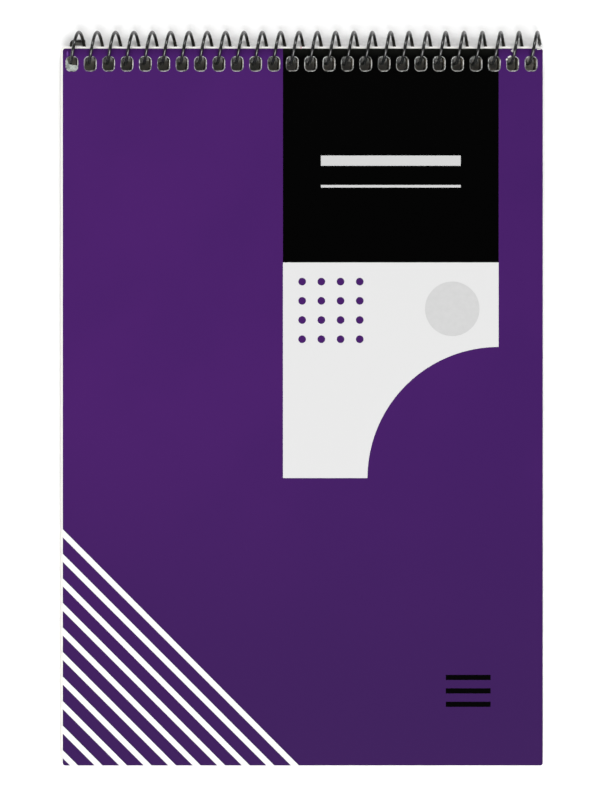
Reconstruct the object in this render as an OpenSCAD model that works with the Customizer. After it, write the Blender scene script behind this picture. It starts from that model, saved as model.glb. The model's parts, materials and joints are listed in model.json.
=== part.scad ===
// Coil-bound pocket pad that opens at its top edge: a printed front card, a block
// of leaves and a back board, punched alike and strung on one wire coil.
// It lies on its back, with +X along the coil, +Y towards the coil and +Z up.
// The origin is under the middle of the pad, on the surface that the coil touches.

/* [Sheets] */
// Width of each sheet, along the coil
sheet_w = 150; // [110:1:260]
// Length of each sheet, from its punched edge to its lower edge
sheet_len = 224; // [160:1:400]
// Radius of the sheets' corners
corner_r = 0.8; // [0.3:0.1:2]
// Thickness of the printed front card
cover_t = 0.3; // [0.2:0.05:0.5]
// Thickness of one leaf
leaf_t = 0.075; // [0.06:0.005:0.09]
// Number of leaves
leaf_count = 40; // [20:1:50]
// Thickness of the back board
board_t = 0.8; // [0.4:0.1:1.2]

/* [How the sheets hang on the coil] */
// Height of the coil's axis over the front card's punched edge
cover_drop = 0.4; // [0.3:0.05:1]
// How far the leaves' punched edge stands over the coil's axis
leaf_rise = 0.25; // [0:0.05:0.3]
// How far the back board's punched edge stands over the coil's axis
board_rise = 0.1; // [0:0.05:0.3]
// How far the front card has slid to the right on the coil
cover_slide = 0.45; // [0:0.05:0.6]
// How far the leaves have slid to the left on the coil
leaf_slide = 0.1; // [0:0.05:0.4]
// How far the back board has slid to the left on the coil
board_slide = 0.45; // [0:0.05:0.6]

/* [Holes] */
// Distance from one hole to the next, which is also the coil's pitch
hole_pitch = 5.74; // [5:0.02:7]
// Width of a hole in the front card and the back board
hole_w = 3.95; // [3.6:0.05:4.3]
// Height of a hole in the front card and the back board
hole_h = 4.8; // [4:0.1:6]
// Radius of a hole's corners
hole_r = 1.5; // [0.5:0.1:1.7]
// How much wider the holes are in the block, whose leaves shift one by one
leaf_play_w = 0.55; // [0.4:0.05:0.8]
// How much longer the holes are in the block, towards its lower edge
leaf_play_h = 0.3; // [0:0.05:0.6]
// Room between the coil and the middle of the holes, towards the lower edge
hole_slack = 0.2; // [0:0.05:0.5]
// Least card between an end hole and the sheet's side, in a centred row
side_web = 0.85; // [0.6:0.05:3]
// How far the row of holes lies left of the sheet's middle
row_shift = 0.4; // [0:0.1:0.4]

/* [Coil] */
// Diameter of the wire
wire_d = 1; // [0.7:0.05:1.2]
// Radius of the coil, to the middle of its wire
coil_r = 4.95; // [4.4:0.05:6.5]
// Distance that the wire passes to the left of the holes' middle, level with the axis
wire_aside = 0.24; // [0:0.02:0.4]
// Angle from the holes round the back to the coil's left end
left_end_angle = 111; // [95:1:115]
// Angle each side of the first hole over which the wire swings into its pitch
lead_in_angle = 30; // [10:5:45]
// Angle from the last hole over the top and down to the coil's right end
right_end_angle = 246; // [200:1:250]
// Radius of the bend at each end of the wire
bend_r = 1; // [0.6:0.1:2]
// Length of the left end, laid along the pad behind the first turn
left_tail = 3.4; // [1:0.1:3.6]
// Angle by which the right end is turned outwards
right_bend = 35; // [10:5:60]

/* [Print] */
// Thickness of each field of ink
ink_t = 0.05; // [0.03:0.01:0.1]
// Side of the square white panel, and width of the black block over it
panel_w = 67.4; // [40:0.2:80]
// Height of the black block, from the punched edge down to the panel
block_h = 66.8; // [40:0.2:80]
// Distance from the panel to the front card's right side
panel_gap = 13.8; // [5:0.2:20]
// Length of the heading bar in the black block
heading_w = 43.7; // [20:0.1:50]
// Height of the heading bar
heading_h = 3.2; // [1:0.1:8]
// Distance from the punched edge down to the middle of the heading bar
heading_drop = 35; // [20:0.5:50]
// Thickness of the thin rule under the heading bar
rule_h = 0.8; // [0.4:0.1:2]
// Distance from the heading bar down to the thin rule
rule_gap = 7.6; // [3:0.1:12]
// Radius of the quarter disc in the panel's lower right corner
disc_r = 41; // [20:0.5:48]
// Radius of the grey spot in the panel
spot_r = 8.5; // [4:0.5:10]
// Distance from the spot's middle to the panel's top and right side
spot_inset = 14.5; // [12:0.5:18]
// Radius of the small dots in the panel
dot_r = 1.2; // [0.6:0.1:1.8]
// Distance from one small dot to the next
dot_pitch = 6; // [4.5:0.5:7]
// Dots in each row, and rows of dots
dot_count = 4; // [2:1:5]
// Number of slanting stripes across the lower left corner
stripe_count = 10; // [4:1:12]
// Distance from one stripe to the next, along the card's side
stripe_pitch = 7.67; // [5:0.01:8]
// Width of a stripe, measured across it
stripe_w = 1.76; // [0.8:0.02:3]
// Distance from the corner to the smallest stripe, along the card's side
stripe_start = 4.77; // [4.5:0.01:8]
// Length of the short lines at the lower right
line_w = 14; // [6:0.5:20]
// Thickness of the short lines
line_h = 1.6; // [0.6:0.1:2.4]
// Distance from one short line to the next
line_pitch = 4.2; // [3:0.1:6]
// Distance from the middle of the short lines to the card's right side and lower edge
line_inset = 23.3; // [14:0.1:30]

/* [Hidden] */

// Finer than the eye for the small holes, dots and corners
$fn = 48;
// Corners of the wire's cross-section, and cross-sections in one turn
wire_sides = 8;
turn_steps = 16;
bend_steps = 5;
// Number of short lines
line_count = 3;

// Heights over the surface that the coil touches: the coil's axis runs through
// the middle of the stack
block_t = leaf_t * leaf_count;
stack_t = board_t + block_t + cover_t;
axis_z = coil_r + wire_d / 2;
board_z = axis_z - stack_t / 2;
block_z = board_z + board_t;
cover_z = block_z + block_t;
ink_z = cover_z + cover_t;

// Places along Y: the coil's far side and the front card's lower edge lie
// equally far from the origin
pad_len = coil_r + wire_d / 2 + cover_drop + sheet_len;
axis_y = pad_len / 2 - coil_r - wire_d / 2;
cover_top = axis_y - cover_drop;
block_top = axis_y + leaf_rise;
board_top = axis_y + board_rise;

// The row of holes, punched at one distance from the edge of every sheet
hole_count = floor((sheet_w - hole_w - 2 * side_web) / hole_pitch) + 1;
first_hole_x = -(hole_count - 1) * hole_pitch / 2 - row_shift;
hole_drop = coil_r + hole_slack - cover_drop;

// Corners of the printed fields on the front card
cover_left = cover_slide - sheet_w / 2;
cover_right = cover_slide + sheet_w / 2;
cover_bottom = cover_top - sheet_len;
panel_right = cover_right - panel_gap;
panel_left = panel_right - panel_w;
panel_top = cover_top - block_h;
panel_bottom = panel_top - panel_w;
heading_x = (panel_left + panel_right) / 2;
heading_y = cover_top - heading_drop;

// A plate with round corners, from its lower left corner
module rounded(w, h, r) {
    translate([r, 0])
        square([w - 2 * r, h]);
    translate([0, r])
        square([w, h - 2 * r]);
    for (x = [r, w - r], y = [r, h - r])
        translate([x, y])
            circle(r);
}

// One row of holes for a sheet whose punched edge is at top
module hole_row(top, slide, wider = 0, longer = 0) {
    w = hole_w + wider;
    h = hole_h + longer;
    for (i = [0 : hole_count - 1])
        translate([first_hole_x + i * hole_pitch + slide - w / 2,
            top - hole_drop + hole_h / 2 - h])
            rounded(w, h, hole_r);
}

// A sheet lying flat, with its row of holes
module sheet(top, slide, thickness, wider = 0, longer = 0) {
    linear_extrude(thickness)
        difference() {
            translate([slide - sheet_w / 2, top - sheet_len])
                rounded(sheet_w, sheet_len, corner_r);
            hole_row(top, slide, wider, longer);
        }
}

module back_board() {
    color("#b9ad98")
        translate([0, 0, board_z])
            sheet(board_top, -board_slide, board_t);
}

module page_block() {
    color("#f4f2ec")
        translate([0, 0, block_z])
            sheet(block_top, -leaf_slide, block_t, leaf_play_w, leaf_play_h);
}

module front_cover() {
    color("#4d216e")
        translate([0, 0, cover_z])
            sheet(cover_top, cover_slide, cover_t);
}

// The heading bar and the thin rule under it, both centred over the panel
module heading_bars() {
    translate([heading_x - heading_w / 2, heading_y - heading_h / 2])
        square([heading_w, heading_h]);
    translate([heading_x - heading_w / 2, heading_y - rule_gap - rule_h])
        square([heading_w, rule_h]);
}

module black_print() {
    color("#101210")
        translate([0, 0, ink_z])
            linear_extrude(ink_t) {
                difference() {
                    translate([panel_left, panel_top])
                        square([panel_w, block_h]);
                    heading_bars();
                    hole_row(cover_top, cover_slide);
                }
                for (i = [0 : line_count - 1])
                    translate([cover_right - line_inset - line_w / 2,
                        cover_bottom + line_inset - line_h / 2
                            + (i - (line_count - 1) / 2) * line_pitch])
                        square([line_w, line_h]);
            }
}

// The plain shapes left open in the panel, where the card shows through
module panel_shapes() {
    intersection() {
        translate([panel_right, panel_bottom])
            circle(disc_r, $fn = 96);
        translate([panel_right - disc_r, panel_bottom])
            square(disc_r);
    }
    for (i = [1 : dot_count], j = [1 : dot_count])
        translate([panel_left + i * dot_pitch, panel_top - j * dot_pitch])
            circle(dot_r);
}

module spot() {
    translate([panel_right - spot_inset, panel_top - spot_inset])
        circle(spot_r);
}

// A stripe across the lower left corner, reaching far along both sides
module stripe(reach) {
    side = stripe_w * sqrt(2);
    translate([cover_left, cover_bottom])
        polygon([[reach, 0], [0, reach], [0, reach - side], [reach - side, 0]]);
}

module white_print() {
    color("#ebebeb")
        translate([0, 0, ink_z])
            linear_extrude(ink_t) {
                difference() {
                    translate([panel_left, panel_bottom])
                        square(panel_w);
                    panel_shapes();
                    spot();
                }
                heading_bars();
                for (i = [0 : stripe_count - 1])
                    stripe(stripe_start + i * stripe_pitch);
            }
}

module grey_print() {
    color("#d2d2d2")
        translate([0, 0, ink_z])
            linear_extrude(ink_t)
                spot();
}

// How steeply the wire climbs along the coil: not at all in its crimped first
// part, then in full
function climb(angle) = min(1, max(0, (angle + lead_in_angle) / (2 * lead_in_angle)));

// The turn that counts for the place along the coil
function climbed(angle) =
    angle > lead_in_angle ? angle : climb(angle) * climb(angle) * lead_in_angle;

// A point of the coil's middle line: the angle grows from the holes over the
// front, and a full turn moves one pitch to the right
function coil_point(angle) = [
    first_hole_x - wire_aside + hole_pitch * climbed(angle) / 360,
    axis_y - coil_r * cos(angle),
    axis_z + coil_r * sin(angle)];

// The direction away from the coil's axis, and the direction along the wire
function coil_out(angle) = [0, -cos(angle), sin(angle)];
function coil_along(angle) =
    let (v = [climb(angle) * hole_pitch / (2 * PI * coil_r), sin(angle), cos(angle)])
    v / norm(v);

// A bend in the coil's own surface, starting along a direction and turning
// towards +X: each entry is the point and the direction after part of the bend
function bend(start, along, angle) =
    let (aside = [1, 0, 0] - along[0] * along)
    let (side = aside / norm(aside))
    [for (i = [1 : bend_steps])
        let (a = angle * i / bend_steps)
        [start + bend_r * (sin(a) * along + (1 - cos(a)) * side),
            cos(a) * along + sin(a) * side]];

// A ring of points around the wire
function ring(point, along, out) =
    let (across = cross(along, out))
    [for (k = [0 : wire_sides - 1])
        let (a = 360 * k / wire_sides)
        point + wire_d / 2 * (cos(a) * out + sin(a) * across)];

left_start = -left_end_angle;
right_stop = 360 * (hole_count - 1) + right_end_angle;
coil_steps = round((right_stop - left_start) * turn_steps / 360);
left_back = -coil_along(left_start);
left_turn = acos(left_back[0]);
left_bend = bend(coil_point(left_start), left_back, left_turn);
left_end = left_bend[bend_steps - 1][0] + [left_tail, 0, 0];
right_bends = bend(coil_point(right_stop), coil_along(right_stop), right_bend);

wire_rings = concat(
    [ring(left_end, [-1, 0, 0], coil_out(left_start))],
    [for (i = [bend_steps - 1 : -1 : 0])
        ring(left_bend[i][0], -left_bend[i][1], coil_out(left_start))],
    [for (i = [0 : coil_steps])
        let (a = left_start + (right_stop - left_start) * i / coil_steps)
        ring(coil_point(a), coil_along(a), coil_out(a))],
    [for (b = right_bends)
        ring(b[0], b[1], coil_out(right_stop))]);

// A tube through rings of equal size, closed at both ends
module tube(rings) {
    n = len(rings[0]);
    last = (len(rings) - 1) * n;
    polyhedron(
        points = [for (r = rings) each r],
        faces = concat(
            [[for (k = [n - 1 : -1 : 0]) k]],
            [[for (k = [0 : n - 1]) last + k]],
            [for (i = [0 : len(rings) - 2], k = [0 : n - 1])
                let (a = i * n + k, b = i * n + (k + 1) % n)
                each [[a, b, a + n], [b, b + n, a + n]]]));
}

module spiral_wire() {
    color("#3a3c3d")
        tube(wire_rings);
}

back_board();
page_block();
front_cover();
spiral_wire();
black_print();
white_print();
grey_print();
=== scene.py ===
# %% [markdown]
# # A coil-bound writing pad
# This lesson dresses a small pad that opens at its top edge. The construction
# comes from a CAD model: sheets of the right size with their punched holes, a
# coil of wire, and thin fields of ink. Blender adds what the eye looks for: the
# sheen of printed card, the torn white rims of the holes, loose leaves whose
# edges don't quite line up, grey board with flecks, and a smooth dark wire.
# The first cell loads the CAD model, which stays where it is.

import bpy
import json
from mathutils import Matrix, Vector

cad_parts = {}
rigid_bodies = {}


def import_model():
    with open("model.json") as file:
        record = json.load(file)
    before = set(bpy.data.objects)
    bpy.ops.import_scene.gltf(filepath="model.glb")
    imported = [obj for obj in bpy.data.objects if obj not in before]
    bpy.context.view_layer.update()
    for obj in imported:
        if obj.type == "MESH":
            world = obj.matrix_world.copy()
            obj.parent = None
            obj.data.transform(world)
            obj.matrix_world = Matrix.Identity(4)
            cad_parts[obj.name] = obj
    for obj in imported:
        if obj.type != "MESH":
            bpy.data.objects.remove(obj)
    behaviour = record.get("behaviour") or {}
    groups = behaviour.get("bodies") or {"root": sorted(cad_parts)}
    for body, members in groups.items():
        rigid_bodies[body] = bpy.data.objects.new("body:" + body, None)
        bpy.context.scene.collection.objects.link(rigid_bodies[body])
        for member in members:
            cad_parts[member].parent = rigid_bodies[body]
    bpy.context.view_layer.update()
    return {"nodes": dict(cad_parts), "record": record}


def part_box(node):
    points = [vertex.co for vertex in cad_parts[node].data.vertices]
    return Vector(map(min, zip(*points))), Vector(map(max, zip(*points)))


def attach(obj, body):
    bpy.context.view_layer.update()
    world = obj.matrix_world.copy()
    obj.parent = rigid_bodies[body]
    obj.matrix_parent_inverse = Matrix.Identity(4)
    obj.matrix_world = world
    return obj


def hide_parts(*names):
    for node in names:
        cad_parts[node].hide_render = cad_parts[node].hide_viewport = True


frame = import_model()

# %% [markdown]
# ## Modules
# bpy is Blender itself, bmesh reaches single points and faces in edit mode, and
# Vector does sums with places. The rest comes with Python: random frays the
# rims.

# %% Modules that come with Blender
import json
import math
import random

import bmesh
import bpy
from mathutils import Vector

# %% [markdown]
# ## Sizes
# Blender works in metres and a pad is measured in millimetres, so one factor
# turns the one into the other. What the CAD model knows is read from it: the
# boxes of its nodes, and the coil's axis, which is also the hinge of the cover.
# The hole row is repeated here as named sizes, because the frame doesn't hold it.

# %% Sizes of the pad
MM = 0.001
cover_low, cover_high = (Vector(corner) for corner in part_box("front_cover"))
block_low, block_high = (Vector(corner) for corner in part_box("page_block"))
board_low, board_high = (Vector(corner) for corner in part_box("back_board"))
hinge = frame["record"]["behaviour"]["joints"][0]["pos_m"]
axis_y, axis_z = hinge[1], hinge[2]

HOLE_COUNT = 26
HOLE_PITCH = 5.74 * MM
HOLE_W = 3.95 * MM
HOLE_H = 4.8 * MM
HOLE_DROP = 4.75 * MM
ROW_SHIFT = 0.4 * MM
WIRE_D = 1.0 * MM
COIL_R = 4.95 * MM
WIRE_ASIDE = 0.24 * MM
COVER_SLIDE = 0.45 * MM
first_hole_x = -(HOLE_COUNT - 1) * HOLE_PITCH / 2 - ROW_SHIFT
print("coil axis at y, z in mm:", round(axis_y / MM, 3), round(axis_z / MM, 3))

# %% [markdown]
# ## Small helpers
# Operators act on whatever is selected, and loading the frame leaves its nodes
# selected. So each step first picks exactly the objects it is about. Faces and
# edges are picked the same way, by a test on where they are or how they face.

# %% Pick objects, faces and edges
def pick(*pieces):
    """Leaves edit mode and selects just these objects; the last one is active."""
    if bpy.context.object and bpy.context.object.mode != "OBJECT":
        bpy.ops.object.mode_set(mode="OBJECT")
    bpy.ops.object.select_all(action="DESELECT")
    for piece in pieces:
        piece.select_set(True)
    bpy.context.view_layer.objects.active = pieces[-1]


def edit(piece):
    """Opens one object in edit mode with nothing selected."""
    pick(piece)
    bpy.ops.object.mode_set(mode="EDIT")
    bpy.ops.mesh.select_all(action="DESELECT")


def select_faces(piece, test):
    """In edit mode, adds the faces to the selection whose centre and normal pass."""
    mesh = bmesh.from_edit_mesh(piece.data)
    for face in mesh.faces:
        if test(face.calc_center_median(), face.normal):
            face.select_set(True)
    bmesh.update_edit_mesh(piece.data)


def select_edges(piece, test):
    """In edit mode, selects just the edges that pass."""
    bpy.ops.mesh.select_all(action="DESELECT")
    mesh = bmesh.from_edit_mesh(piece.data)
    for edge in mesh.edges:
        if test(edge):
            edge.select_set(True)
    bmesh.update_edit_mesh(piece.data)


def settle(piece):
    """Moves an object's place, turn and scale into its mesh."""
    pick(piece)
    bpy.ops.object.transform_apply(location=True, rotation=True, scale=True)


def report_piece(piece):
    """Prints how many faces a piece has."""
    print(f"{piece.name}: {len(piece.data.polygons)} faces")


# %% [markdown]
# ## Helpers for materials
# Colours are written as the sRGB hex values that a paint program shows, and one
# function turns them into the linear light that the renderer adds up. Another
# small function adds a shader node with its settings, values and links, so each
# material below reads as a short list of what it is made of.

# %% Colour and node helpers
def linear(hex_code):
    """An sRGB colour such as 4d216e as linear red, green, blue and alpha."""
    parts = [int(hex_code[i:i + 2], 16) / 255 for i in (0, 2, 4)]
    light = [c / 12.92 if c <= 0.04045 else ((c + 0.055) / 1.055) ** 2.4 for c in parts]
    return (*light, 1.0)


def add_node(material, kind, inputs=None, **settings):
    """Adds a node; inputs maps a socket to a value or to another node's output."""
    node = material.node_tree.nodes.new(kind)
    for name, value in settings.items():
        setattr(node, name, value)
    for socket, value in (inputs or {}).items():
        if isinstance(value, bpy.types.NodeSocket):
            material.node_tree.links.new(value, node.inputs[socket])
        else:
            node.inputs[socket].default_value = value
    return node


def start_material(name):
    """A material with one shader, and its object coordinates in metres."""
    material = bpy.data.materials.new(name)
    material.use_nodes = True
    shader = material.node_tree.nodes["Principled BSDF"]
    place = add_node(material, "ShaderNodeTexCoord").outputs["Object"]
    return material, shader, place


def mix_colour(material, factor, first, second):
    """Mixes two colours; each may be a value or an output."""
    node = add_node(material, "ShaderNodeMix", {0: factor, 6: first, 7: second}, data_type="RGBA")
    return node.outputs[2]


def math_node(material, operation, first, second=0.0, third=0.0):
    """One arithmetic step; each operand may be a number or an output."""
    node = add_node(material, "ShaderNodeMath", {0: first, 1: second, 2: third},
                    operation=operation)
    return node.outputs[0]


def noise(material, place, size, detail=2.0, roughness=0.5):
    """Noise whose blotches are about size metres across."""
    return add_node(material, "ShaderNodeTexNoise",
                    {"Vector": place, "Scale": 1 / size, "Detail": detail, "Roughness": roughness})


def bump(material, shader, height, depth, strength=1.0):
    """Raises the surface by depth metres where height is 1."""
    node = add_node(material, "ShaderNodeBump",
                    {"Height": height, "Distance": depth, "Strength": strength})
    material.node_tree.links.new(node.outputs[0], shader.inputs["Normal"])


def colour_with(material, shader, colour):
    """Feeds a colour output into the shader."""
    material.node_tree.links.new(colour, shader.inputs["Base Color"])


def dress(node_name, material):
    """Gives a CAD node its material; the node's mesh stays as it is."""
    node = frame["nodes"][node_name]
    node.data.materials.clear()
    node.data.materials.append(material)
    print(f"{node_name} is now {material.name}")


# %% [markdown]
# ## The printed card
# The cover is a thin solid bleached card, printed by offset with a purple tint
# and sealed with a thin satin varnish. The tint isn't dead even: it mottles a
# little over centimetres, where the card took up more ink, and the colour gets
# darker to the right and towards the foot. Along the punched edge, under the
# coil, the purple is darker still: painted shade. Over the first hole the wire
# has worn a pale streak. The card's core and its inside are unprinted, so the
# purple stops just under the top face, and the height in the object's own
# coordinates tells the two apart. The varnish is fairly smooth and mirrors
# little from above.

# %% Printed card
INK_EDGE = 0.03 * MM
PAINTED_EDGE_BAND = 3.2 * MM
FOOT_START = 20 * MM
CARD_SHEEN = 0.06
SCUFF_X, SCUFF_Y = -73.1 * MM, 107.5 * MM
SCUFF_W, SCUFF_H = 0.32 * MM, 0.95 * MM
PURPLE = linear("401a5b")
PURPLE_DEEP = linear("391855")
PURPLE_LOW = linear("33184c")
PURPLE_PAINTED_SHADE = linear("34144b")
SCUFF_TINT = linear("613c82")
CARD_WHITE = linear("cfcdc8")


def fade(material, value, start, end):
    """A smooth rise from 0 at start to 1 at end."""
    node = add_node(material, "ShaderNodeMapRange",
                    {"Value": value, "From Min": start, "From Max": end},
                    interpolation_type="SMOOTHSTEP")
    return node.outputs[0]


def varnish(material, shader, place, sheen):
    """The fibre of the card under a satin varnish."""
    fibre = noise(material, place, 0.35 * MM, detail=4.0, roughness=0.6)
    bump(material, shader, fibre.outputs[0], 0.008 * MM, 0.5)
    shader.inputs["Roughness"].default_value = 0.3
    shader.inputs["IOR"].default_value = 1.5
    shader.inputs["Specular IOR Level"].default_value = sheen


def scuff(material, axes):
    """1 in the middle of the worn streak and 0 outside its oval."""
    across = math_node(material, "SUBTRACT", axes["X"], SCUFF_X)
    across = math_node(material, "DIVIDE", across, SCUFF_W)
    along = math_node(material, "SUBTRACT", axes["Y"], SCUFF_Y)
    along = math_node(material, "DIVIDE", along, SCUFF_H)
    across = math_node(material, "MULTIPLY", across, across)
    distance = math_node(material, "MULTIPLY_ADD", along, along, across)
    return fade(material, distance, 1.0, 0.3)


def make_printed_card():
    """Purple on top, bare white card on the edges and inside."""
    material, shader, place = start_material("printed_card")
    axes = add_node(material, "ShaderNodeSeparateXYZ", {"Vector": place}).outputs
    mottle = noise(material, place, 42 * MM, detail=3.0).outputs[0]
    across = fade(material, axes["X"], 1.2 * cover_low.x, 1.2 * cover_high.x)
    clouds = math_node(material, "MULTIPLY", fade(material, mottle, 0.35, 0.68), 0.35)
    depth = math_node(material, "MULTIPLY_ADD", across, 0.65, clouds)
    tint = mix_colour(material, depth, PURPLE, PURPLE_DEEP)
    foot = fade(material, axes["Y"], FOOT_START, cover_low.y)
    tint = mix_colour(material, foot, tint, PURPLE_LOW)
    # Painted shade: a darker purple along the punched edge, under the coil.
    edge = fade(material, axes["Y"], cover_high.y - PAINTED_EDGE_BAND, cover_high.y)
    tint = mix_colour(material, edge, tint, PURPLE_PAINTED_SHADE)
    tint = mix_colour(material, scuff(material, axes), tint, SCUFF_TINT)
    top = math_node(material, "GREATER_THAN", axes["Z"], cover_high.z - INK_EDGE)
    colour_with(material, shader, mix_colour(material, top, CARD_WHITE, tint))
    varnish(material, shader, place, CARD_SHEEN)
    return material


dress("front_cover", make_printed_card())

# %% [markdown]
# ## The inks
# Black, white and grey are further fields of print under the same varnish, so
# they share its fibre and its soft sheen, and only their colour differs. Along
# the punched edge black is painted a little grey: a painted reflection of the
# coil over it. The white fields aren't all alike: the panel is a light tint,
# the slanting stripes are bare white card, and the bars on the black block are
# a little greyer. One node holds them all, so a test on the place picks the
# right white.

# %% Inks
BLOCK_H = 66.8 * MM
PANEL_H = 67.4 * MM
PANEL_TOP = cover_high.y - BLOCK_H
PANEL_BOTTOM = PANEL_TOP - PANEL_H
BLACK_SHEEN = 0.03
PANEL_WHITE = linear("c5c5c5")
STRIPE_WHITE = linear("dcdcdc")
BAR_GREY = linear("b6b6b6")


def make_ink(name, hex_code, painted_reflection_code, sheen):
    """A field of ink, with a painted reflection along the punched edge."""
    material, shader, place = start_material(name)
    y = add_node(material, "ShaderNodeSeparateXYZ", {"Vector": place}).outputs["Y"]
    speck = noise(material, place, 1.6 * MM, detail=3.0).outputs[0]
    full = linear(hex_code)
    dark = (*(0.9 * c for c in full[:3]), 1.0)
    tone = mix_colour(material, speck, full, dark)
    # Painted reflection: along the punched edge the ink takes a lighter tone.
    edge = fade(material, y, cover_high.y - PAINTED_EDGE_BAND, cover_high.y)
    colour_with(material, shader, mix_colour(material, edge, tone, linear(painted_reflection_code)))
    varnish(material, shader, place, sheen)
    return material


def make_white_ink():
    """The panel's tint, bare white for the stripes and light grey for the bars."""
    material, shader, place = start_material("panel_white_ink")
    y = add_node(material, "ShaderNodeSeparateXYZ", {"Vector": place}).outputs["Y"]
    over_stripes = math_node(material, "GREATER_THAN", y, PANEL_BOTTOM - 0.2 * MM)
    over_panel = math_node(material, "GREATER_THAN", y, PANEL_TOP + 1 * MM)
    panel = mix_colour(material, over_stripes, STRIPE_WHITE, PANEL_WHITE)
    colour_with(material, shader, mix_colour(material, over_panel, panel, BAR_GREY))
    varnish(material, shader, place, CARD_SHEEN)
    return material


dress("black_print", make_ink("matt_black_ink", "010101", "0d0e0c", BLACK_SHEEN))
dress("white_print", make_white_ink())
dress("grey_print", make_ink("matt_grey_ink", "bababa", "bababa", CARD_SHEEN))

# %% [markdown]
# ## Painted shade in the holes
# The sheets are painted dark inside each hole and for a little way round it:
# painted shade, where the holes are deep and little light gets in. The distance
# to the nearest hole comes from the place: one wrap for each pitch makes a single
# hole of the whole row, and what lies outside its half width and half height
# counts. The row stops short of the side edges, so no painted shade lies past
# its last holes.
# The row stops short of the side edges, so no smudge lies past its last holes.

# %% Painted shade round the holes
ROW_MARGIN = 1.3 * MM
RAGGED = 0.6


def paint_hole_shade(material, place, row_y, row_x, reach):
    """Painted shade: 1 in the holes, fading to 0 at a ragged distance from them."""
    axes = add_node(material, "ShaderNodeSeparateXYZ", {"Vector": place}).outputs
    along = math_node(material, "SUBTRACT", axes["X"], row_x)
    along = math_node(material, "WRAP", along, HOLE_PITCH / 2, -HOLE_PITCH / 2)
    off_x = math_node(material, "ABSOLUTE", along)
    off_x = math_node(material, "SUBTRACT", off_x, HOLE_W / 2)
    off_y = math_node(material, "SUBTRACT", axes["Y"], row_y)
    off_y = math_node(material, "ABSOLUTE", off_y)
    off_y = math_node(material, "SUBTRACT", off_y, HOLE_H / 2)
    outside = math_node(material, "MAXIMUM", off_x, off_y)
    outside = math_node(material, "MAXIMUM", outside, 0.0)
    ragged = noise(material, place, 0.9 * MM, detail=3.0).outputs[0]
    distance = math_node(material, "MULTIPLY_ADD", ragged, RAGGED * reach, outside)
    from_middle = math_node(material, "ABSOLUTE", axes["X"])
    in_row = math_node(material, "LESS_THAN", from_middle, cover_high.x - ROW_MARGIN)
    dark = fade(material, distance, 1.3 * reach, 0.3 * reach)
    return math_node(material, "MULTIPLY", dark, in_row)


# %% [markdown]
# ## The back board
# Recycled grey board is pressed from waste paper. It isn't coated, so it has
# almost no shine, and flecks of darker and lighter fibre lie in it. The flecks
# are about half a millimetre long; the larger clouds come from uneven pulp.

# %% Recycled board
BOARD_HOLE_SHADE = 1.3 * MM
FLECK_GAP = 1.1 * MM


def make_board():
    """Uncoated grey board with flecks of fibre."""
    material, shader, place = start_material("recycled_board")
    cloud = noise(material, place, 9 * MM, detail=4.0)
    base = mix_colour(material, cloud.outputs[0], linear("a89d8a"), linear("bdb3a1"))
    fleck = add_node(material, "ShaderNodeTexVoronoi", {"Vector": place, "Scale": 1 / FLECK_GAP})
    dark = add_node(material, "ShaderNodeMapRange",
                    {"Value": fleck.outputs["Distance"], "From Min": 0.10, "From Max": 0.22,
                     "To Min": 0.55, "To Max": 0.0})
    tone = mix_colour(material, dark.outputs[0], base, linear("6f675a"))
    row_x = first_hole_x - COVER_SLIDE
    # Painted shade: the board is darkened in and round its holes.
    wear_and_painted_shade = paint_hole_shade(material, place, board_high.y - HOLE_DROP, row_x, BOARD_HOLE_SHADE)
    colour_with(material, shader, mix_colour(material, wear_and_painted_shade, tone, linear("1f1e1b")))
    pulp = noise(material, place, 0.5 * MM, detail=5.0, roughness=0.65)
    bump(material, shader, pulp.outputs[0], 0.05 * MM, 0.7)
    shader.inputs["Roughness"].default_value = 0.9
    shader.inputs["Specular IOR Level"].default_value = 0.15
    return material


dress("back_board", make_board())

# %% [markdown]
# ## Writing paper
# The leaves are uncoated paper: almost white and quite rough, with hardly any
# shine. Seen from the side a stack of leaves is a fine comb of lines, one for
# each 0.075 mm leaf, painted as shade in the gaps between leaves. That is finer
# than a pixel in most views, so it is drawn a little coarser, at 0.15 mm. Only
# the top leaf shows its ruling, so the paper comes in two kinds, and the next
# cell draws the lines.

# %% Paper materials
LEAF_T = 0.075 * MM
LEAF_LINES = 0.15 * MM
LEAF_SLIDE = 0.1 * MM
LEAF_HOLE_SHADE = 0.65 * MM
COMB_SHARE, COMB_DEPTH = 0.25, 0.35


def make_paper(name, ruled):
    """Uncoated paper, with or without printed ruling."""
    material, shader, place = start_material(name)
    axes = add_node(material, "ShaderNodeSeparateXYZ", {"Vector": place}).outputs
    cloud = noise(material, place, 12 * MM, detail=3.0)
    colour = mix_colour(material, cloud.outputs[0], linear("dad9d6"), linear("d4d3cf"))
    if ruled:
        colour = rule_lines(material, axes, colour)
    else:
        # Painted shade: a dark line for each gap between leaves on the stack's sides.
        comb = math_node(material, "PINGPONG", axes["Z"], LEAF_LINES / 2)
        comb = math_node(material, "MULTIPLY", comb, 2 / LEAF_LINES)
        seam_shade = math_node(material, "GREATER_THAN", COMB_SHARE, comb)
        seam_shade = math_node(material, "MULTIPLY", seam_shade, COMB_DEPTH)
        colour = mix_colour(material, seam_shade, colour, linear("9c9a94"))
    row_x = first_hole_x - LEAF_SLIDE
    # Painted shade: the leaves are darkened in and round their holes.
    wear_and_painted_shade = paint_hole_shade(material, place, block_high.y - HOLE_DROP, row_x, LEAF_HOLE_SHADE)
    colour_with(material, shader, mix_colour(material, wear_and_painted_shade, colour, linear("32312e")))
    fibre = noise(material, place, 0.25 * MM, detail=5.0, roughness=0.65)
    bump(material, shader, fibre.outputs[0], 0.015 * MM, 0.5)
    shader.inputs["Roughness"].default_value = 0.85
    shader.inputs["Specular IOR Level"].default_value = 0.2
    return material


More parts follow.
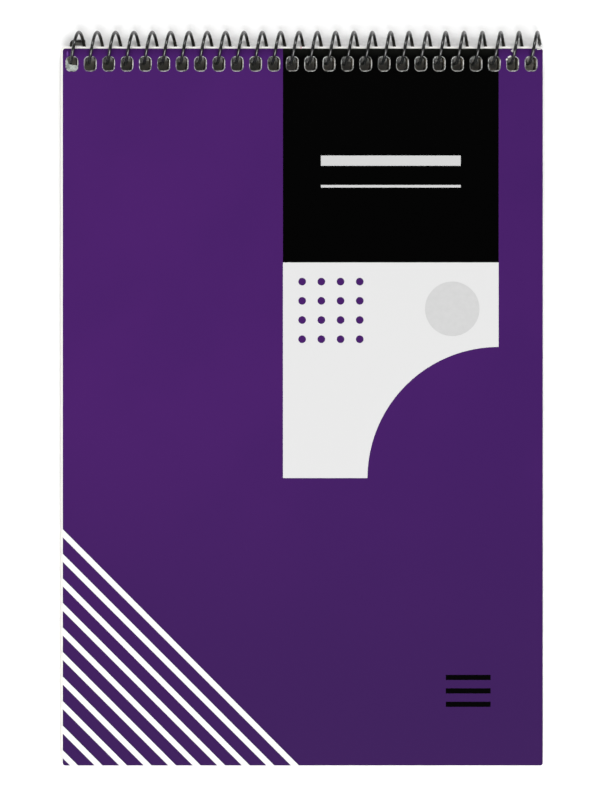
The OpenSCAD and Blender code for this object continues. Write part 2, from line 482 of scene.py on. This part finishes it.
# %% [markdown]
# ## Ruling
# A shorthand pad is ruled with feint lines 8 mm apart below a head margin, and
# one line runs down the middle. A line is where the distance to the nearest
# multiple of the spacing is under half the line's width. The lines stop short
# of the side edges, so no line shows where the leaf stands out past the card.

# %% Ruling as a pattern
RULE_GAP = 8 * MM
RULE_W = 0.3 * MM
HEAD_MARGIN = 22 * MM
FOOT_MARGIN = 9 * MM
SIDE_MARGIN = 1.2 * MM


def rule_lines(material, axes, colour):
    """Draws feint lines across the leaf and one line down its middle."""
    first_line = block_high.y - HEAD_MARGIN
    offset = math_node(material, "SUBTRACT", axes["Y"], first_line)
    nearest = math_node(material, "PINGPONG", offset, RULE_GAP / 2)
    line = math_node(material, "LESS_THAN", nearest, RULE_W / 2)
    under_head = math_node(material, "LESS_THAN", offset, RULE_W)
    over_foot = math_node(material, "GREATER_THAN", axes["Y"], block_low.y + FOOT_MARGIN)
    line = math_node(material, "MULTIPLY", line, under_head)
    line = math_node(material, "MULTIPLY", line, over_foot)
    from_middle = math_node(material, "SUBTRACT", axes["X"], (block_low.x + block_high.x) / 2)
    from_middle = math_node(material, "ABSOLUTE", from_middle)
    half_ruled = (block_high.x - block_low.x) / 2 - SIDE_MARGIN
    inside = math_node(material, "LESS_THAN", from_middle, half_ruled)
    line = math_node(material, "MULTIPLY", line, inside)
    colour = mix_colour(material, line, colour, linear("7e98ad"))
    middle_line = math_node(material, "LESS_THAN", from_middle, RULE_W / 2)
    return mix_colour(material, middle_line, colour, linear("b97981"))


uncoated_paper = make_paper("uncoated_paper", ruled=False)
ruled_paper = make_paper("ruled_paper", ruled=True)
print("two kinds of paper:", uncoated_paper.name, "and", ruled_paper.name)

# %% [markdown]
# ## A stack of loose leaves
# The CAD block is one solid. Real leaves are loose on the wire, and their edges
# stand a few hundredths of a millimetre out of line. So the block is rebuilt as
# thirteen thin slices of three leaves, and one ruled leaf on top. Each slice is
# a copy of the block's own mesh, squeezed flat and nudged: that keeps the
# punched holes true. A CAD mesh is loose triangles, so the copy is merged first.

# %% Slice the block
SLICES = 13
SLICE_T = 3 * LEAF_T
NUDGE = 0.07 * MM
SHADOW_GAP = 0.012 * MM
MERGE = 0.002 * MM
dice = random.Random(11)


def merged_copy(node_name, name):
    """A copy of a CAD node's mesh with its triangles joined."""
    piece = bpy.data.objects.new(name, frame["nodes"][node_name].data.copy())
    bpy.context.collection.objects.link(piece)
    edit(piece)
    bpy.ops.mesh.select_all(action="SELECT")
    bpy.ops.mesh.remove_doubles(threshold=MERGE)
    bpy.ops.object.mode_set(mode="OBJECT")
    return piece


def squeezed(piece, low, high, shift=(0.0, 0.0)):
    """Squeezes a copy of the block to lie from low to high, and nudges it."""
    factor = (high - low) / (block_high.z - block_low.z)
    piece.scale = (1, 1, factor)
    piece.location = (shift[0], shift[1], low - block_low.z * factor)
    settle(piece)
    return piece


slices = []
for index in range(SLICES):
    bottom = block_low.z + index * SLICE_T
    shift = (dice.uniform(-NUDGE, NUDGE), dice.uniform(-1.5 * NUDGE, 0.5 * NUDGE))
    copy = merged_copy("page_block", f"slice_{index}")
    slices.append(squeezed(copy, bottom, bottom + SLICE_T - SHADOW_GAP, shift))
leaves = slices[0]
pick(*slices[1:], leaves)
bpy.ops.object.join()
leaves.name = "loose_leaves"
leaves.data.materials.clear()
leaves.data.materials.append(uncoated_paper)
report_piece(leaves)

# %% [markdown]
# ## The leaf on top
# The top leaf is what shows when the cover is turned over, so it carries the
# ruling. It is the block once more, squeezed to the thickness of a single leaf.

# %% The ruled leaf on top
top_leaf = squeezed(merged_copy("page_block", "ruled_leaf"),
                    block_high.z - LEAF_T, block_high.z - SHADOW_GAP)
top_leaf.data.materials.clear()
top_leaf.data.materials.append(ruled_paper)
report_piece(top_leaf)

# %% [markdown]
# ## Torn rims
# A blunt punch tears the card instead of cutting it, so a ragged white fringe
# of fibre hangs in every hole. One rim is modelled at the first hole: a plane
# of the hole's size, its corners bevelled to the hole's radius, and its outline
# subdivided. Two insets give two rings that step inwards and down, and the
# middle is deleted. Copies get their own random fraying, so no two are alike.
# Where the turning wire rubs, at the right side, little of the fringe is left.

# %% One torn rim
RIM_W = 0.24 * MM
RIM_WORN = 0.05 * MM
RIM_T = 0.04 * MM
RIM_LIFT = 0.01 * MM
RIM_DROPS = (0.06 * MM, 0.12 * MM)
RIM_ROOT = 0.02 * MM
FRAY_LOW, FRAY_HIGH = 0.4, 1.15
CURL_LOW, CURL_HIGH = -0.03, 0.02
HOLE_R = 1.5 * MM
RUB_LOW, RUB_HIGH = -0.35 * MM, 1.4 * MM
card_top = cover_high.z
card_hole_y = cover_high.y - HOLE_DROP


def outline_of_hole(name, x, y, z):
    """A flat face with the hole's outline, finely divided along its edge."""
    bpy.ops.mesh.primitive_plane_add(size=1, location=(x, y, z))
    piece = bpy.context.object
    piece.name = name
    piece.scale = (HOLE_W, HOLE_H, 1)
    settle(piece)
    edit(piece)
    bpy.ops.mesh.select_all(action="SELECT")
    bpy.ops.mesh.bevel(offset=HOLE_R, segments=7, affect="VERTICES", clamp_overlap=False)
    bpy.ops.mesh.select_all(action="SELECT")
    bpy.ops.mesh.subdivide(number_cuts=2)
    return piece


def first_rim():
    """The clean rim at the first hole, before it is frayed."""
    x = first_hole_x + COVER_SLIDE
    rim = outline_of_hole("torn_rim", x, card_hole_y, card_top + RIM_LIFT)
    for drop in RIM_DROPS:
        bpy.ops.mesh.inset(thickness=RIM_W / 2, depth=-drop)
    bpy.ops.mesh.delete(type="FACE")
    bpy.ops.object.mode_set(mode="OBJECT")
    return rim


def inward(co, centre_x):
    """How far a point lies inside the hole's outline, in metres."""
    dx = HOLE_W / 2 - abs(co.x - centre_x)
    dy = HOLE_H / 2 - abs(co.y - card_hole_y)
    corner_x, corner_y = HOLE_R - dx, HOLE_R - dy
    if corner_x > 0 and corner_y > 0:
        return HOLE_R - math.hypot(corner_x, corner_y)
    return min(dx, dy)


def fray(rim, centre_x):
    """Moves a rim's inner points at random, and pulls them back where the wire rubs."""
    for vertex in rim.data.vertices:
        depth = inward(vertex.co, centre_x)
        if depth < RIM_ROOT:
            continue
        middle = Vector((centre_x, card_hole_y, vertex.co.z))
        outwards = (vertex.co - middle).normalized()
        keep = dice.uniform(FRAY_LOW, FRAY_HIGH)
        beside = vertex.co.x - centre_x > HOLE_W * 0.3
        wear_and_painted_shade = RUB_LOW < vertex.co.y - card_hole_y < RUB_HIGH
        if beside and wear_and_painted_shade:
            keep = RIM_WORN / RIM_W
        vertex.co += outwards * depth * (1 - keep)
        vertex.co.z += dice.uniform(CURL_LOW, CURL_HIGH) * MM


pattern = first_rim()
rims = []
for index in range(HOLE_COUNT):
    rim = bpy.data.objects.new(f"rim_{index}", pattern.data.copy())
    bpy.context.collection.objects.link(rim)
    rim.location.x = index * HOLE_PITCH
    settle(rim)
    fray(rim, first_hole_x + COVER_SLIDE + index * HOLE_PITCH)
    rims.append(rim)
bpy.data.objects.remove(pattern)
pick(*rims)
bpy.ops.object.join()
torn_rims = bpy.context.object
torn_rims.name = "torn_rims"
thicken = torn_rims.modifiers.new("fibre", "SOLIDIFY")
thicken.thickness = RIM_T
bpy.ops.object.modifier_apply(modifier=thicken.name)
bpy.ops.object.shade_smooth_by_angle(angle=math.radians(50))
report_piece(torn_rims)

# %% [markdown]
# ## The fibre of torn card
# Torn card shows its core: bleached pulp, quite rough, grey with dust from
# handling. It catches the light in specks. Two noises tone it: a fine one at the
# size of a fibre bundle, and a coarser one that leaves some stretches of a rim
# dull, so a row of holes doesn't look drawn. The flap in the first hole is the
# card's underside and a shade greener.

# %% Torn fibre
def make_fibre(name, dull, bright):
    """Rough pulp, as a tear leaves it."""
    material, shader, place = start_material(name)
    speck = noise(material, place, 0.4 * MM, detail=4.0, roughness=0.7).outputs[0]
    stretch = noise(material, place, 1.3 * MM, detail=1.0).outputs[0]
    specks = fade(material, speck, 0.3, 0.6)
    stretches = fade(material, stretch, 0.36, 0.54)
    both = math_node(material, "MULTIPLY", specks, stretches)
    colour_with(material, shader, mix_colour(material, both, linear(dull), linear(bright)))
    pulp = noise(material, place, 0.12 * MM, detail=4.0, roughness=0.7)
    bump(material, shader, pulp.outputs[0], 0.04 * MM, 0.8)
    shader.inputs["Roughness"].default_value = 0.95
    shader.inputs["Specular IOR Level"].default_value = 0.15
    return material


torn_fibre = make_fibre("torn_fibre", "5a5c5a", "cfd1ce")
torn_rims.data.materials.clear()
torn_rims.data.materials.append(torn_fibre)
print(f"{torn_rims.name} is now {torn_fibre.name}")

# %% [markdown]
# ## The hole that wasn't punched clean
# In the first hole a flap of the card's core is left, folded under. It fills
# the hole's lower part and its left side, and is open where the wire passes.
# It is the hole's own outline again, cut away by a step in its upper right:
# the outline is bisected twice, and the quarter with the wire is deleted.

# %% The flap left in the first hole
FLAP_Z = 7.3 * MM
FLAP_T = 0.06 * MM
flap_x = first_hole_x + COVER_SLIDE
wire_left = flap_x - 0.98 * MM
wire_low = card_hole_y - 0.12 * MM
flap = outline_of_hole("uncut_flap", flap_x, card_hole_y, FLAP_Z)
corner = Vector((wire_left, wire_low, FLAP_Z))
left_cut, lower_cut = Vector((1, 0.3, 0)), Vector((0.14, 1, 0))
bpy.ops.mesh.bisect(plane_co=corner, plane_no=left_cut)
bpy.ops.mesh.select_all(action="SELECT")
bpy.ops.mesh.bisect(plane_co=corner, plane_no=lower_cut)
bpy.ops.mesh.select_all(action="DESELECT")
select_faces(flap, lambda centre, normal: (centre - corner).dot(left_cut) > 0
             and (centre - corner).dot(lower_cut) > 0)
bpy.ops.mesh.delete(type="FACE")
bpy.ops.mesh.select_all(action="SELECT")
bpy.ops.mesh.extrude_region_move(TRANSFORM_OT_translate={"value": (0, 0, -FLAP_T)})
bpy.ops.mesh.select_all(action="SELECT")
bpy.ops.mesh.normals_make_consistent(inside=False)
bpy.ops.object.mode_set(mode="OBJECT")
flap.data.materials.append(make_fibre("card_underside", "767d78", "a5aba6"))
report_piece(flap)

# %% [markdown]
# ## Chips near the right end
# There the coil has dragged at the card and lifted four flakes of print. A
# flake is a plane that is subdivided, pulled into an uneven outline and extruded
# by the thickness of a few fibres.

# %% Four flakes
FLAKE_T = 0.03 * MM
FLAKE_SHRINK = 0.3
WORN_HOLE = 24


def flake(name, x, y, width, height, turn):
    """An uneven flake of bare card, lying on the print."""
    bpy.ops.mesh.primitive_plane_add(size=1, location=(x, y, card_top), rotation=(0, 0, turn))
    piece = bpy.context.object
    piece.name = name
    piece.scale = (width, height, 1)
    settle(piece)
    edit(piece)
    bpy.ops.mesh.select_all(action="SELECT")
    bpy.ops.mesh.subdivide(number_cuts=3)
    outline = bmesh.from_edit_mesh(piece.data)
    for vertex in outline.verts:
        away = vertex.co - Vector((x, y, card_top))
        vertex.co -= away * dice.uniform(0.0, FLAKE_SHRINK)
    bpy.ops.mesh.select_all(action="SELECT")
    bpy.ops.mesh.extrude_region_move(TRANSFORM_OT_translate={"value": (0, 0, FLAKE_T)})
    bpy.ops.mesh.select_all(action="SELECT")
    bpy.ops.mesh.normals_make_consistent(inside=False)
    bpy.ops.object.mode_set(mode="OBJECT")
    piece.data.materials.append(bare_card)
    report_piece(piece)
    return piece


bare_card = make_fibre("bare_card", "b9bab7", "dededb")
worn_x = first_hole_x + COVER_SLIDE + WORN_HOLE * HOLE_PITCH
corner_x = worn_x + HOLE_PITCH
flakes = [
    flake("chip_over_hole", worn_x - 0.02 * MM, cover_high.y - 0.62 * MM,
          width=0.95 * MM, height=0.95 * MM, turn=math.radians(45)),
    flake("chip_beside_hole", worn_x - 1.85 * MM, card_hole_y + 1.35 * MM,
          width=0.6 * MM, height=0.5 * MM, turn=0.7),
    flake("chip_on_rim", worn_x - 1.0 * MM, card_hole_y + 2.25 * MM,
          width=1.1 * MM, height=0.5 * MM, turn=0.5),
    flake("chip_at_corner", corner_x + 2.45 * MM, cover_high.y - 0.2 * MM,
          width=1.4 * MM, height=0.3 * MM, turn=0.04),
]

# %% [markdown]
# ## The coil
# A coil is wound on a mandrel from drawn steel wire, lacquered dark. A screw
# modifier does the same: a ring as wide as the wire is turned round the axis
# while it moves along it, one pitch in each turn. The ring is tilted by the
# coil's own slope first, or the wire would come out oval. Angles grow from the
# holes over the front. The first quarter of a turn lies under the pad and
# doesn't climb, and the next sixth comes up to the full slope, so their points
# are slid along the axis to where they belong.

# %% Wind the coil
LEFT_END = 111
RIGHT_END = 246
TURN_STEPS = 40
WIRE_SIDES = 16
BEND_R = 1.0 * MM
LEFT_TAIL = 3.4 * MM
RIGHT_BEND = 35
BEND_STEPS = 8
END_ROUND = 0.12 * MM
LEAD_IN = 30
turns = (LEFT_END + 360 * (HOLE_COUNT - 1) + RIGHT_END) / 360
slope = math.atan2(HOLE_PITCH, 2 * math.pi * COIL_R)
coil_start_x = first_hole_x - WIRE_ASIDE - HOLE_PITCH * LEFT_END / 360


def climb(degrees):
    """How steeply the wire climbs: not at all in its first part, then in full."""
    return min(1.0, max(0.0, (degrees + LEAD_IN) / (2 * LEAD_IN)))


def climbed(degrees):
    """The turn that counts for the place along the coil."""
    return degrees if degrees > LEAD_IN else climb(degrees) ** 2 * LEAD_IN


def lead_in(piece):
    """Slides the rings of the first part along the axis."""
    for number, vertex in enumerate(piece.data.vertices):
        ring = number // WIRE_SIDES
        degrees = ring * 360 * turns / round(TURN_STEPS * turns) - LEFT_END
        if degrees < LEAD_IN:
            vertex.co.x += HOLE_PITCH * (climbed(degrees) - degrees) / 360


bpy.ops.mesh.primitive_circle_add(vertices=WIRE_SIDES, radius=WIRE_D / 2,
                                  location=(0, -COIL_R, 0), rotation=(0, slope, 0))
coil = bpy.context.object
coil.name = "lacquered_coil"
settle(coil)
wind = coil.modifiers.new("wind", "SCREW")
wind.axis = "X"
wind.angle = -2 * math.pi * turns
wind.screw_offset = HOLE_PITCH * turns
wind.steps = wind.render_steps = round(TURN_STEPS * turns)
bpy.ops.object.modifier_apply(modifier=wind.name)
lead_in(coil)
coil.rotation_euler.x = math.radians(LEFT_END)
coil.location = (coil_start_x, axis_y, axis_z)
settle(coil)
report_piece(coil)

# %% [markdown]
# ## The crimped ends
# The wire's ends are bent along the pad, so that the coil can't wind itself out
# and no sharp end sticks up. In edit mode the open ring at each end is spun
# round the bend's centre; the left one is then drawn out straight. A cap closes
# each end, with a small bevel where the cutter has rounded the edge.

# %% Bend the ends
def along_coil(degrees):
    """The direction in which the wire runs at an angle of the coil."""
    a = math.radians(degrees)
    rise = climb(degrees) * HOLE_PITCH / (2 * math.pi * COIL_R)
    return Vector((rise, math.sin(a), math.cos(a))).normalized()


def on_coil(degrees):
    """A point of the wire's middle line."""
    a = math.radians(degrees)
    return Vector((first_hole_x - WIRE_ASIDE + HOLE_PITCH * climbed(degrees) / 360,
                   axis_y - COIL_R * math.cos(a), axis_z + COIL_R * math.sin(a)))


def bend_end(degrees, direction, angle, tail):
    """Spins the open ring at one end towards +X, then draws it out."""
    end = on_coil(degrees)
    side = (Vector((1, 0, 0)) - direction.x * direction).normalized()
    select_edges(coil, lambda e: e.is_boundary
                 and all((v.co - end).length < WIRE_D for v in e.verts))
    bpy.ops.mesh.spin(steps=BEND_STEPS, angle=-angle, center=end + BEND_R * side,
                      axis=direction.cross(side))
    if tail:
        bpy.ops.mesh.extrude_edges_move(TRANSFORM_OT_translate={"value": (tail, 0, 0)})
    bpy.ops.mesh.edge_face_add()
    bpy.ops.mesh.bevel(offset=END_ROUND, segments=2)
    tip = middle_of_selection(coil)
    print("end of the wire in mm:", tuple(round(v / MM, 2) for v in tip))


def middle_of_selection(piece):
    """The middle of the selected vertices."""
    chosen = [v.co for v in bmesh.from_edit_mesh(piece.data).verts if v.select]
    return sum(chosen, Vector()) / len(chosen)


right_angle = 360 * (HOLE_COUNT - 1) + RIGHT_END
edit(coil)
bpy.ops.mesh.select_mode(type="EDGE")
left_back = -along_coil(-LEFT_END)
bend_end(-LEFT_END, left_back, math.acos(left_back.x), LEFT_TAIL)
bend_end(right_angle, along_coil(right_angle), math.radians(RIGHT_BEND), 0)
bpy.ops.mesh.select_all(action="SELECT")
bpy.ops.mesh.normals_make_consistent(inside=False)
bpy.ops.object.mode_set(mode="OBJECT")
bpy.ops.object.shade_smooth_by_angle(angle=math.radians(35))
report_piece(coil)

# %% [markdown]
# ## Dark lacquered wire
# The lacquer is thin and glossy over drawn steel, so the wire reads as a dark
# grey with a narrow bright line along each strand. The colour wanders a little
# from turn to turn, and fine drawing marks break up the gloss.

# %% Lacquered wire
def make_lacquer():
    """Dark lacquer on drawn steel wire."""
    material, shader, place = start_material("dark_lacquer")
    wander = noise(material, place, 3 * MM, detail=2.0)
    spread = add_node(material, "ShaderNodeMapRange",
                      {"Value": wander.outputs[0], "From Min": 0.35, "From Max": 0.65})
    tone = mix_colour(material, spread.outputs[0], linear("121313"), linear("1e1f1f"))
    colour_with(material, shader, tone)
    marks = noise(material, place, 0.2 * MM, detail=4.0)
    bump(material, shader, marks.outputs[0], 0.006 * MM, 0.6)
    shader.inputs["Roughness"].default_value = 0.26
    shader.inputs["IOR"].default_value = 1.52
    shader.inputs["Specular IOR Level"].default_value = 0.7
    return material


coil.data.materials.clear()
coil.data.materials.append(make_lacquer())
print(f"{coil.name} is now {coil.data.materials[0].name}")

# %% [markdown]
# ## Who moves with whom
# The cover turns on the coil, and the coil creeps round in the holes, so every
# piece says which body it rides. The leaves and the smooth coil stand for their
# plain CAD solids, which are hidden and stay for the physics.

# %% Ride and replace
for piece in (leaves, top_leaf):
    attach(piece, "pad")
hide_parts("page_block")
for piece in (torn_rims, flap, *flakes):
    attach(piece, "cover")
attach(coil, "wire")
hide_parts("spiral_wire")
riding = (leaves, top_leaf, torn_rims, flap, *flakes, coil)
print("pieces that ride a body:", [piece.name for piece in riding])

# %% [markdown]
# ## The table under the pad
# The pad doesn't lie flat: the coil is thicker than the stack, so the pad rests
# on the coil's underside and on the board's lower edge. The floor is a plane
# through both, tilted by less than a degree.

# %% A pale floor
FLOOR = 2.6
FLOOR_GAP = 0.02 * MM
tilt = math.atan2(board_low.z, axis_y - board_low.y)
bpy.ops.mesh.primitive_plane_add(size=FLOOR, location=(0, axis_y, -FLOOR_GAP),
                                 rotation=(-tilt, 0, 0))
floor = bpy.context.object
floor.name = "pale_floor"
floor_paint, floor_shader, floor_place = start_material("matt_white_paint")
grain = noise(floor_paint, floor_place, 2 * MM, detail=3.0)
colour_with(floor_paint, floor_shader,
            mix_colour(floor_paint, grain.outputs[0], linear("f8f8f8"), linear("f4f4f4")))
floor_shader.inputs["Roughness"].default_value = 0.9
floor_shader.inputs["Specular IOR Level"].default_value = 0.1
floor.data.materials.append(floor_paint)
print("floor tilted by degrees:", round(math.degrees(tilt), 2))

# %% [markdown]
# ## Light
# Two soft boxes light the pad. The larger one stands below the picture, so the
# coil throws its shadow away from the pad, and each strand has its bright line
# on the near side. The other is a strip behind the coil and fills that shadow.
# Both stand so low that most light that gets through a hole lands on the floor
# beside the part that shows in it, and the holes look dark from above.

# %% Two soft boxes
LAMP_DISTANCE = 2.4


def soft_box(name, side, elevation, size_x, size_y, power):
    """An area light on the near (-1) or far (+1) side that looks at the pad's middle."""
    angle = math.radians(elevation)
    direction = Vector((0, side * math.cos(angle), math.sin(angle)))
    lamp = bpy.data.lights.new(name, "AREA")
    lamp.shape = "RECTANGLE"
    lamp.size, lamp.size_y = size_x, size_y
    lamp.energy = power
    holder = bpy.data.objects.new(name, lamp)
    bpy.context.collection.objects.link(holder)
    holder.location = direction * LAMP_DISTANCE
    holder.rotation_euler = (-direction).to_track_quat("-Z", "Y").to_euler()
    print(f"{name}: {power} W at {elevation} degrees")


soft_box("near_soft_box", -1, elevation=53.5, size_x=1.95, size_y=1.3, power=72.0)
soft_box("far_soft_box", 1, elevation=57, size_x=1.75, size_y=0.35, power=38.5)

# %% [markdown]
# ## The room
# The room is dim, and darker overhead where the camera hangs: so the black
# print, which mirrors what is over it, stays black, and so do the holes. Below
# the horizon all is white, so the floor seems to run on past its edge.

# %% A dim room, dark overhead
ROOM = 0.1
OVERHEAD = 0.02
BAND_TOP, BAND_END = math.sin(math.radians(45)), math.sin(math.radians(65))
room = bpy.data.worlds.new("dim_room")
bpy.context.scene.world = room
room.use_nodes = True
sky = add_node(room, "ShaderNodeTexCoord").outputs["Generated"]
height = add_node(room, "ShaderNodeSeparateXYZ", {"Vector": sky}).outputs["Z"]
upper = add_node(room, "ShaderNodeMapRange",
                 {"Value": height, "From Min": BAND_TOP, "From Max": BAND_END,
                  "To Min": ROOM, "To Max": OVERHEAD}, interpolation_type="SMOOTHSTEP")
below = math_node(room, "LESS_THAN", height, 0.0)
strength = math_node(room, "MAXIMUM", upper.outputs[0], below)
background = room.node_tree.nodes["Background"]
background.inputs["Color"].default_value = (1, 1, 1, 1)
room.node_tree.links.new(strength, background.inputs["Strength"])
bpy.context.scene.view_settings.view_transform = "Standard"
print(f"{room.name}: {ROOM} round the pad and {OVERHEAD} overhead")

# %% [markdown]
# ## Camera
# The pad was photographed from straight above, from just under a metre. A long
# lens from that distance keeps the perspective at the coil as weak as it is in
# the photograph. The picture is 600 by 800, so the lens is worked out from the
# length that the 800 pixels take in.

# %% Camera over the pad
VIEW_LENGTH = 250.0 * MM
CAMERA_HEIGHT = 0.95
CAMERA_X = -0.42 * MM
CAMERA_Y = -0.72 * MM
SENSOR = 36.0
camera_data = bpy.data.cameras.new("camera")
camera_data.sensor_width = SENSOR
camera_data.lens = SENSOR * CAMERA_HEIGHT / VIEW_LENGTH
camera = bpy.data.objects.new("camera", camera_data)
bpy.context.collection.objects.link(camera)
camera.location = (CAMERA_X, CAMERA_Y, cover_high.z + CAMERA_HEIGHT)
camera.rotation_euler = (0, 0, 0)
bpy.context.scene.camera = camera
print("lens in mm:", round(camera_data.lens, 1))
